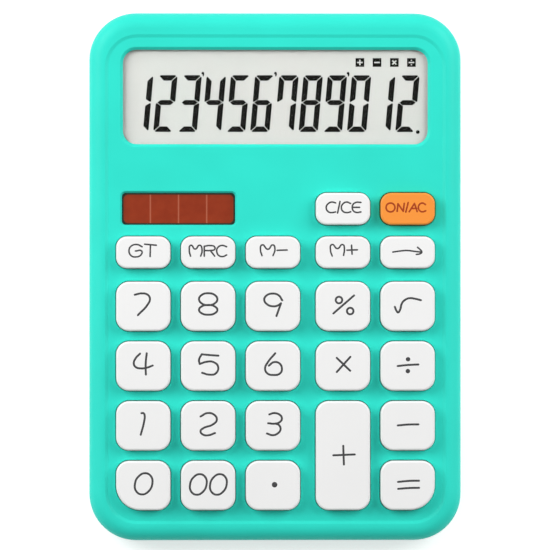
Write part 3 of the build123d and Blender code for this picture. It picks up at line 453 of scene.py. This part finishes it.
TICK_SHAPE = ((-0.4, 0.35), (-0.1, 0.65), (0.3, 0.5), (0.4, -0.1), (0.15, -0.75), (-0.1, -0.6), (-0.1, -0.1),
              (-0.4, 0.0))
POINT_X = 40.35
POINT_RADIUS = 0.55
ICON_SIZE = 2.46
ICON_HEIGHT = 9.84
ICONS_X = (23.95, 28.8, 33.7, 38.55)
ICON_LINE = 0.36
ICON_REACH = 0.78
ICON_DOTS = 0.62


def segment_outline(letter):
    """Outline of one upright segment inside a digit's box, from its lower left corner."""
    if letter == "g":
        half = MIDDLE_BAR / 2
        left, right = MIDDLE_INSET, DIGIT_WIDTH - MIDDLE_INSET
        return [(left, MIDDLE), (left + MIDDLE_POINT, MIDDLE + half), (right - MIDDLE_POINT, MIDDLE + half),
                (right, MIDDLE), (right - MIDDLE_POINT, MIDDLE - half), (left + MIDDLE_POINT, MIDDLE - half)]
    height = DIGIT_HEIGHT
    middle = height - MIDDLE if letter in "dec" else MIDDLE
    inner = BAR + MITRE
    if letter in "ad":
        outline = [(MITRE + CORNER_CUT, height), (DIGIT_WIDTH - MITRE - CORNER_CUT, height),
                   (DIGIT_WIDTH - MITRE - CORNER_CUT / 2, height - CORNER_CUT / 2),
                   (DIGIT_WIDTH - inner, height - BAR), (inner, height - BAR),
                   (MITRE + CORNER_CUT / 2, height - CORNER_CUT / 2)]
    else:
        outline = [(0, middle + SPLIT_OUTER), (0, height - MITRE - CORNER_CUT),
                   (CORNER_CUT / 2, height - MITRE - CORNER_CUT / 2), (BAR, height - inner),
                   (BAR, middle + SPLIT_INNER), (SPLIT_POINT[0], middle + SPLIT_POINT[1])]
    if letter in "bc":
        outline = [(DIGIT_WIDTH - x, y) for x, y in outline]
    if letter in "dec":
        outline = [(x, height - y) for x, y in outline]
    return outline


def digit_outlines(place, figure):
    """The lit segments of one digit, leaning to the right, at its place in the row."""
    left = DIGIT_LEFT + place * DIGIT_PITCH
    return [[(left + x + DIGIT_LEAN * y, DIGIT_BOTTOM + y) for x, y in segment_outline(letter)]
            for letter in LIT_SEGMENTS[figure]]


def box_outline(x, y, half_width, half_height, turn=0.0):
    """A rectangle about a point, turned by an angle in degrees."""
    c, s = math.cos(math.radians(turn)), math.sin(math.radians(turn))
    corners = ((-half_width, -half_height), (half_width, -half_height), (half_width, half_height),
               (-half_width, half_height))
    return [(x + c * a - s * b, y + s * a + c * b) for a, b in corners]


def cross_outline(x, y, reach, half_line, turn=0.0):
    """A plus sign about a point, turned by an angle in degrees."""
    arm = [(half_line, half_line), (reach, half_line), (reach, -half_line)]
    c, s = math.cos(math.radians(turn)), math.sin(math.radians(turn))
    points = []
    for quarter in range(4):
        for a, b in arm:
            for _ in range(quarter):
                a, b = b, -a
            points.append((x + c * a - s * b, y + s * a + c * b))
    return points


def round_outline(x, y, radius):
    """A small round dot."""
    return [(x + radius * math.cos(step * math.pi / 6), y + radius * math.sin(step * math.pi / 6))
            for step in range(12)]


def icon_outlines():
    """Four dark squares, each with a clear plus, minus, times or divide sign."""
    outlines = [box_outline(x, ICON_HEIGHT, ICON_SIZE / 2, ICON_SIZE / 2) for x in ICONS_X]
    plus, minus, times, divide = ICONS_X
    half = ICON_LINE / 2
    outlines.append(cross_outline(plus, ICON_HEIGHT, ICON_REACH, half))
    outlines.append(box_outline(minus, ICON_HEIGHT, ICON_REACH, half))
    outlines.append(cross_outline(times, ICON_HEIGHT, ICON_REACH, half, 45))
    outlines.append(box_outline(divide, ICON_HEIGHT, ICON_REACH, half))
    outlines += [round_outline(divide, ICON_HEIGHT + side * ICON_DOTS, half) for side in (-1, 1)]
    return outlines


def flat_plates(name, outlines, thickness):
    """Thin plates cut to outlines in millimetres, lying on z = 0; an outline in another is a hole."""
    curve = bpy.data.curves.new(name, "CURVE")
    curve.dimensions = "2D"
    curve.fill_mode = "BOTH"
    curve.extrude = thickness / 2
    for outline in outlines:
        spline = curve.splines.new("POLY")
        spline.points.add(len(outline) - 1)
        spline.use_cyclic_u = True
        spline.use_smooth = False
        for point, (x, y) in zip(spline.points, outline):
            point.co = (x, y, 0, 1)
    plates = bpy.data.objects.new(name, curve)
    bpy.context.collection.objects.link(plates)
    select_only(plates)
    bpy.ops.object.convert(target="MESH")
    edit_whole(plates)
    bpy.ops.transform.translate(value=(0, 0, thickness / 2))
    bpy.ops.transform.resize(value=(MM, MM, MM), center_override=(0, 0, 0))
    bpy.ops.object.mode_set(mode="OBJECT")
    return plates


outlines = []
for place, figure in enumerate(DIGITS):
    outlines += digit_outlines(place, figure)
row_right = DIGIT_LEFT + DIGIT_WIDTH + DIGIT_LEAN * DIGIT_HEIGHT
for place in TICKS_AFTER:
    tick_x = row_right + (place - 1) * DIGIT_PITCH + TICK_RIGHT
    outlines.append([(tick_x + x, TICK_HEIGHT + y) for x, y in TICK_SHAPE])
outlines.append(round_outline(POINT_X, DIGIT_BOTTOM, POINT_RADIUS))
segments = flat_plates("display_segments", outlines + icon_outlines(), SEGMENT_FILM)

segment_black, shader, place = new_finish("segment_black", SEGMENT_BLACK, 0.45)
tone = spread(segment_black, noise(segment_black, place, 2 * MM), 0, 1)
segment_black.node_tree.links.new(
    blend_colours(segment_black, tone, SEGMENT_BLACK, SEGMENT_WARM), shader.inputs["Base Color"])
shader.inputs["Specular IOR Level"].default_value = 0.05
segments.data.materials.append(segment_black)
lay_on_face(segments, face_spot("lcd_polariser"))
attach(segments, "case")

polariser, shader, place = new_finish("polariser_film", POLARISER_GREY, 0.42)
clouds = spread(polariser, noise(polariser, place, 14 * MM), 0, 1)
polariser.node_tree.links.new(
    blend_colours(polariser, clouds, POLARISER_GREY, POLARISER_WARM), shader.inputs["Base Color"])
grain(polariser, shader, noise(polariser, place, 0.2 * MM), 0.002 * MM)
dress(polariser, "lcd_polariser")


PANE_IOR = 1.2
PANE_TINT = (0.2, 0.2, 0.2, 1)
PANE_RANGE = 0.02


def clear_pane(name, colour, roughness):
    """Clear sheet with an anti-glare coat, which bends what is seen through it and lets lamps through."""
    material, shader, place = new_finish(name, colour, roughness)
    shader.inputs["Transmission Weight"].default_value = 1.0
    shader.inputs["IOR"].default_value = PANE_IOR
    shader.inputs["Specular Tint"].default_value = PANE_TINT
    tree = material.node_tree
    tree.links.new(spread(material, noise(material, place, 9 * MM), roughness, roughness + PANE_RANGE),
                   shader.inputs["Roughness"])
    through = tree.nodes.new("ShaderNodeBsdfTransparent")
    ray = tree.nodes.new("ShaderNodeLightPath")
    either = tree.nodes.new("ShaderNodeMixShader")
    tree.links.new(ray.outputs["Is Shadow Ray"], either.inputs["Fac"])
    tree.links.new(shader.outputs["BSDF"], either.inputs[1])
    tree.links.new(through.outputs["BSDF"], either.inputs[2])
    tree.links.new(either.outputs["Shader"], tree.nodes["Material Output"].inputs["Surface"])
    return material


dress(clear_pane("clear_acrylic", (0.985, 0.995, 0.99), 0.015), "display_window")
dress(clear_pane("display_glass", (0.93, 0.98, 0.95), 0.01), "lcd_front_glass", "lcd_rear_glass")

# ---------------------------------------------------------------- solar cell
# A glass plate with four dark red-brown cells of amorphous silicon on its back. Thin light lines
# part the cells, and a black print runs round the edge of the window.
CELL_RED = (0.262, 0.029, 0.007)
CELL_RED_LIGHT = (0.30, 0.036, 0.009)
CELL_LINE = (0.42, 0.105, 0.055)
PRINT_BLACK = (0.022, 0.030, 0.018)
CELL_PITCH = 7.96 * MM
CELL_LINE_WIDTH = 0.42 * MM
SOLAR_WINDOW = (32.0 * MM, 9.0 * MM)
PRINT_WIDTH = 0.48 * MM
PRINT_CORNER = 1.3 * MM


def math_step(material, operation, first, second):
    """One sum on a value; either side may be a number or another node's output."""
    step = material.node_tree.nodes.new("ShaderNodeMath")
    step.operation = operation
    for socket, value in zip(step.inputs, (first, second)):
        if isinstance(value, float):
            socket.default_value = value
        else:
            material.node_tree.links.new(value, socket)
    return step.outputs["Value"]


def distance_along(material, place, direction, start):
    """Distance from a point along a direction, on the piece's own coordinates."""
    along = material.node_tree.nodes.new("ShaderNodeVectorMath")
    along.operation = "DOT_PRODUCT"
    along.inputs[1].default_value = direction
    material.node_tree.links.new(place, along.inputs[0])
    return math_step(material, "SUBTRACT", along.outputs["Value"], start.dot(direction))


def past(material, distance, limit):
    """How far a distance goes past a limit to either side, or zero."""
    beyond = math_step(material, "SUBTRACT", math_step(material, "ABSOLUTE", distance, 0.0), limit)
    return math_step(material, "MAXIMUM", beyond, 0.0)


solar, shader, place = new_finish("solar_glass", CELL_RED, 0.16)
shader.inputs["Specular IOR Level"].default_value = 0.15
middle = face_spot("solar_cell")
across = distance_along(solar, place, face_right, middle)
along = distance_along(solar, place, face_up, middle)
mottled = blend_colours(solar, spread(solar, noise(solar, place, 2.5 * MM), 0, 1), CELL_RED, CELL_RED_LIGHT)
to_line = math_step(solar, "PINGPONG", math_step(solar, "ADD", across, CELL_PITCH * 10), CELL_PITCH / 2)
on_line = math_step(solar, "LESS_THAN", to_line, CELL_LINE_WIDTH / 2)
striped = solar.node_tree.nodes.new("ShaderNodeMix")
striped.data_type = "RGBA"
striped.inputs["B"].default_value = (*CELL_LINE, 1)
solar.node_tree.links.new(mottled, striped.inputs["A"])
solar.node_tree.links.new(on_line, striped.inputs["Factor"])
past_x = past(solar, across, SOLAR_WINDOW[0] / 2 - PRINT_WIDTH - PRINT_CORNER)
past_y = past(solar, along, SOLAR_WINDOW[1] / 2 - PRINT_WIDTH - PRINT_CORNER)
squares = math_step(solar, "ADD", math_step(solar, "MULTIPLY", past_x, past_x),
                    math_step(solar, "MULTIPLY", past_y, past_y))
on_print = math_step(solar, "GREATER_THAN", math_step(solar, "SQRT", squares, 0.0), PRINT_CORNER)
bordered = solar.node_tree.nodes.new("ShaderNodeMix")
bordered.data_type = "RGBA"
bordered.inputs["B"].default_value = (*PRINT_BLACK, 1)
solar.node_tree.links.new(striped.outputs["Result"], bordered.inputs["A"])
solar.node_tree.links.new(on_print, bordered.inputs["Factor"])
solar.node_tree.links.new(bordered.outputs["Result"], shader.inputs["Base Color"])
dress(solar, "solar_cell")

# ---------------------------------------------------------------- what the case holds
# Board, ribbon, reserve cell and fasteners. None of them shows while the case is shut, so each has
# the plain finish of such a part.


def dull_finish(name, colour, second, patch, roughness, metal=0.0):
    """A finish of two close colours in patches, with the same pattern as a slight relief."""
    material, shader, place = new_finish(name, colour, roughness)
    pattern = noise(material, place, patch, 4.0)
    material.node_tree.links.new(blend_colours(material, spread(material, pattern, 0, 1), colour, second),
                                 shader.inputs["Base Color"])
    grain(material, shader, pattern, patch / 30)
    shader.inputs["Metallic"].default_value = metal
    return material, shader


def banded_finish(name, colour, second, pitch, direction, roughness):
    """A finish with straight even bands across a direction."""
    material, shader, place = new_finish(name, colour, roughness)
    bands = material.node_tree.nodes.new("ShaderNodeTexWave")
    bands.bands_direction = direction
    bands.inputs["Scale"].default_value = 2 * math.pi / pitch / 20
    material.node_tree.links.new(place, bands.inputs["Vector"])
    material.node_tree.links.new(
        blend_colours(material, spread(material, bands.outputs["Fac"], 0, 1, 0.45, 0.55), colour, second),
        shader.inputs["Base Color"])
    return material


dress(dull_finish("board_laminate", (0.33, 0.20, 0.07), (0.27, 0.155, 0.05), 1.2 * MM, 0.45)[0],
      "main_board")
dress(dull_finish("epoxy_resin", (0.010, 0.010, 0.011), (0.016, 0.016, 0.016), 2 * MM, 0.22)[0],
      "controller_blob")
dress(dull_finish("capacitor_sleeve", (0.016, 0.02, 0.055), (0.02, 0.025, 0.07), 1 * MM, 0.35)[0],
      "capacitor")
dress(dull_finish("chip_ceramic", (0.05, 0.04, 0.035), (0.09, 0.08, 0.07), 0.4 * MM, 0.5)[0], "board_chips")
dress(dull_finish("black_foam_tape", (0.012, 0.012, 0.012), (0.02, 0.02, 0.02), 0.3 * MM, 0.8)[0],
      "display_tape", "solar_tape")
dress(dull_finish("bracket_plastic", (0.62, 0.62, 0.58), (0.66, 0.66, 0.62), 4 * MM, 0.45)[0], "lcd_bracket")
dress(dull_finish("reflector_film", (0.58, 0.60, 0.57), (0.62, 0.64, 0.6), 0.5 * MM, 0.35, 0.3)[0],
      "lcd_reflector")
dress(dull_finish("cell_jacket", (0.10, 0.10, 0.11), (0.13, 0.13, 0.14), 5 * MM, 0.3, 0.6)[0],
      "battery_cell")
dress(dull_finish("nickel_plate", (0.55, 0.54, 0.50), (0.6, 0.59, 0.56), 1 * MM, 0.28, 1.0)[0],
      "battery_spring", "spring_contact", "nub_contact")
dress(dull_finish("wire_insulation", (0.35, 0.02, 0.015), (0.4, 0.025, 0.02), 1 * MM, 0.4)[0],
      "solar_leads", "battery_leads")
dress(banded_finish("ribbon_film", (0.16, 0.09, 0.03), (0.03, 0.03, 0.03), 1.2 * MM, "X", 0.4), "lcd_ribbon")
zinc = dull_finish("zinc_plate", (0.50, 0.51, 0.53), (0.56, 0.57, 0.58), 0.8 * MM, 0.3, 1.0)[0]
dress(zinc, "case_screws", "board_screws", "bracket_screws")

# ---------------------------------------------------------------- keypad mat
# A silicone sheet with a hollow dome under each key, and a carbon pill under each dome's roof. Each
# dome and its pill are parted from the sheet as pieces of their own, and all of them stay with the case.
DOME_BASE = 7.0 * MM
DOME_MARGIN = 0.01 * MM
MERGE_DISTANCE = 0.001 * MM
PRESS_CLEARANCE = 0.2 * MM


def face_parts(point):
    """A point's place across and along the face, and its level."""
    return Vector((point.dot(face_right), point.dot(face_up))), point.dot(face_normal)


def merged_copy(node, name, finish):
    """A copy of a CAD piece with its loose triangles joined."""
    piece = bpy.data.objects.new(name, nodes[node].data.copy())
    bpy.context.collection.objects.link(piece)
    piece.data.materials.clear()
    piece.data.materials.append(finish)
    edit_whole(piece)
    bpy.ops.mesh.remove_doubles(threshold=MERGE_DISTANCE)
    bpy.ops.mesh.select_all(action="DESELECT")
    bpy.ops.object.mode_set(mode="OBJECT")
    return piece


def cut_out(piece, centre, reach, name):
    """Part the faces about a centre from a piece, as a piece of their own."""
    spots = [face_parts(vertex.co)[0] for vertex in piece.data.vertices]
    for element in (*piece.data.vertices, *piece.data.edges):
        element.select = False
    for polygon in piece.data.polygons:
        polygon.select = all((spots[corner] - centre).length < reach for corner in polygon.vertices)
    select_only(piece)
    bpy.ops.object.mode_set(mode="EDIT")
    bpy.ops.mesh.select_mode(type="FACE")
    bpy.ops.mesh.separate(type="SELECTED")
    bpy.ops.object.mode_set(mode="OBJECT")
    part = next(found for found in bpy.context.selected_objects if found is not piece)
    part.name = name
    return part


def close_cut(piece):
    """Join the two open rings that a cut leaves, so that the piece is closed again."""
    select_only(piece)
    bpy.ops.object.mode_set(mode="EDIT")
    bpy.ops.mesh.select_mode(type="EDGE")
    bpy.ops.mesh.select_all(action="DESELECT")
    bpy.ops.mesh.select_non_manifold(use_wire=False, use_multi_face=False, use_non_contiguous=False,
                                     use_verts=False)
    bpy.ops.mesh.bridge_edge_loops()
    bpy.ops.mesh.select_all(action="SELECT")
    bpy.ops.mesh.normals_make_consistent(inside=False)
    bpy.ops.object.mode_set(mode="OBJECT")


silicone, shader = dull_finish("silicone_rubber", (0.62, 0.64, 0.62), (0.66, 0.67, 0.65), 3 * MM, 0.5)
shader.inputs["Subsurface Weight"].default_value = 0.25
shader.inputs["Subsurface Radius"].default_value = (1.2 * MM, 1.1 * MM, 1.0 * MM)
carbon = dull_finish("carbon_rubber", (0.010, 0.010, 0.010), (0.02, 0.02, 0.02), 0.3 * MM, 0.7)[0]

key_spots = {key: face_parts(face_spot(key))[0] for key in key_names}
dome_spots = [(key, key.removeprefix("key_"), spot) for key, spot in key_spots.items() if key != "key_plus"]
for end, beside in (("rear", "key_minus"), ("front", "key_equals")):
    dome_spots.append(("key_plus", "plus_" + end, Vector((key_spots["key_plus"].x, key_spots[beside].y))))

sheet = merged_copy("keypad_mat", "mat_sheet", silicone)
pills = merged_copy("contact_pills", "pill_row", carbon)
levels = [face_parts(vertex.co)[1] for vertex in sheet.data.vertices]
board_level = min(levels)
travel = -frame["joints"][0]["range_m"][0]
sheet_level = max(levels) - travel - PRESS_CLEARANCE
for key, ending, spot in dome_spots:
    dome = cut_out(sheet, spot, DOME_BASE / 2 + DOME_MARGIN, "dome_" + ending)
    close_cut(dome)
    close_cut(sheet)
    last = ending == dome_spots[-1][1]
    pill = pills if last else cut_out(pills, spot, DOME_BASE / 2, "pill_" + ending)
    pill.name = "pill_" + ending
    for piece, finish, level in ((dome, "silicone", sheet_level), (pill, "carbon_rubber", board_level)):
        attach(piece, "case")
        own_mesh(piece)
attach(sheet, "case")
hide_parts("keypad_mat")
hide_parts("contact_pills")

# ---------------------------------------------------------------- underside
# Four rubber feet glued into recesses, a blank silver label, and the sliding battery door with a
# moulded arrow that shows which way it opens.
ARROW_RELIEF = 0.3
ARROW_GAP = 6.0 * MM
ARROW_OUTLINE = ((-1.2, -3.0), (1.2, -3.0), (1.2, 0.2), (3.0, 0.2), (0, 3.4), (-3.0, 0.2), (-1.2, 0.2))

dress(dull_finish("foot_rubber", (0.018, 0.018, 0.019), (0.028, 0.028, 0.028), 0.5 * MM, 0.75)[0],
      "rubber_feet")
dress(dull_finish("label_film", (0.56, 0.57, 0.58), (0.60, 0.61, 0.62), 1.5 * MM, 0.35, 0.7)[0],
      "rating_label")

door_low, door_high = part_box("battery_door")
arrow = flat_plates("battery_door_arrow", [ARROW_OUTLINE], ARROW_RELIEF)
bake_place(arrow, Matrix.Translation(((door_low.x + door_high.x) / 2, door_high.y - ARROW_GAP,
                                      door_low.z - ARROW_RELIEF * MM)))
arrow.data.materials.append(case_plastic)
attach(arrow, "sliding_door")

# ---------------------------------------------------------------- floor, light and camera
# A pale floor that keeps the shadow, two large soft lamps behind the object to its left and right,
# and a long lens that looks almost straight down the normal of the sloping face.
FLOOR_SIZE = 1.2
FLOOR_GREY = 0.75
FLOOR_GLOW = 0.58
SKY_LIGHT = 0.3
LAMP_SIZE = 0.5

bpy.ops.object.select_all(action="DESELECT")
bpy.ops.mesh.primitive_plane_add(size=FLOOR_SIZE, location=(0, 0, 0))
floor = bpy.context.object
floor.name = "floor"


def node_sum(tree, operation, first, second):
    """One sum on two outputs."""
    step = tree.nodes.new("ShaderNodeMath")
    step.operation = operation
    tree.links.new(first, step.inputs[0])
    tree.links.new(second, step.inputs[1])
    return step.outputs["Value"]


def pale_backdrop(tree, kind, strength):
    """Plain white for the camera and for what mirrors and glass show, but not for the light itself."""
    ray = tree.nodes.new("ShaderNodeLightPath")
    shown = node_sum(tree, "MAXIMUM", ray.outputs["Is Glossy Ray"], ray.outputs["Is Transmission Ray"])
    unlit = tree.nodes.new("ShaderNodeMath")
    unlit.operation = "LESS_THAN"
    unlit.inputs[1].default_value = 0.5
    tree.links.new(ray.outputs["Diffuse Depth"], unlit.inputs[0])
    shown = node_sum(tree, "MULTIPLY", shown, unlit.outputs["Value"])
    seen = node_sum(tree, "MAXIMUM", ray.outputs["Is Camera Ray"], shown)
    white = tree.nodes.new(kind)
    white.inputs["Strength"].default_value = strength
    white.inputs["Color"].default_value = (1, 1, 1, 1)
    return seen, white


floor_paint = bpy.data.materials.new("floor_paint")
floor_paint.use_nodes = True
tree = floor_paint.node_tree
paint = tree.nodes["Principled BSDF"]
paint.inputs["Base Color"].default_value = (FLOOR_GREY, FLOOR_GREY, FLOOR_GREY, 1)
paint.inputs["Roughness"].default_value = 0.9
paint.inputs["Specular IOR Level"].default_value = 0.0
seen, glow = pale_backdrop(tree, "ShaderNodeEmission", FLOOR_GLOW)
both = tree.nodes.new("ShaderNodeAddShader")
either = tree.nodes.new("ShaderNodeMixShader")
tree.links.new(paint.outputs["BSDF"], both.inputs[0])
tree.links.new(glow.outputs["Emission"], both.inputs[1])
tree.links.new(seen, either.inputs["Fac"])
tree.links.new(paint.outputs["BSDF"], either.inputs[1])
tree.links.new(both.outputs["Shader"], either.inputs[2])
tree.links.new(either.outputs["Shader"], tree.nodes["Material Output"].inputs["Surface"])
floor.data.materials.append(floor_paint)

world = bpy.data.worlds.new("studio")
world.use_nodes = True
bpy.context.scene.world = world
tree = world.node_tree
sky = tree.nodes["Background"]
sky.inputs["Color"].default_value = (1, 1, 1, 1)
sky.inputs["Strength"].default_value = SKY_LIGHT
seen, white = pale_backdrop(tree, "ShaderNodeBackground", 1.0)
either = tree.nodes.new("ShaderNodeMixShader")
tree.links.new(seen, either.inputs["Fac"])
tree.links.new(sky.outputs["Background"], either.inputs[1])
tree.links.new(white.outputs["Background"], either.inputs[2])
tree.links.new(either.outputs["Shader"], tree.nodes["World Output"].inputs["Surface"])


def soft_lamp(name, place, power):
    """A square soft lamp that points at the object."""
    bpy.ops.object.light_add(type="AREA", location=place)
    lamp = bpy.context.object
    lamp.name = name
    lamp.data.size = LAMP_SIZE
    lamp.data.energy = power
    lamp.rotation_mode = "QUATERNION"
    lamp.rotation_quaternion = (-Vector(place)).to_track_quat("-Z", "Y")


soft_lamp("left_lamp", (-0.52, 0.26, 0.42), 4.08)
soft_lamp("right_lamp", (0.52, 0.26, 0.42), 3.38)

CAMERA_DISTANCE = 1.6
CAMERA_TURN = math.radians(1.3)
SENSOR_WIDTH = 36
VIEW_WIDTH = 155.4 * MM
VIEW_OFFSET = (-0.13 * MM, 0.48 * MM)
bpy.ops.object.camera_add()
camera = bpy.context.object
camera.data.sensor_width = SENSOR_WIDTH
camera.data.lens = SENSOR_WIDTH * CAMERA_DISTANCE / VIEW_WIDTH
aim = face_spot("upper_case") + face_right * VIEW_OFFSET[0] + face_up * VIEW_OFFSET[1]
camera_turn = Matrix.Rotation(-CAMERA_TURN, 3, face_up)
view_back = camera_turn @ face_normal
camera.matrix_world = (Matrix.Translation(aim + view_back * CAMERA_DISTANCE)
                       @ Matrix((camera_turn @ face_right, face_up, view_back)).transposed().to_4x4())
camera.data.clip_start = 0.05
camera.data.clip_end = 20
bpy.context.scene.camera = camera
bpy.context.scene.view_settings.view_transform = "Standard"
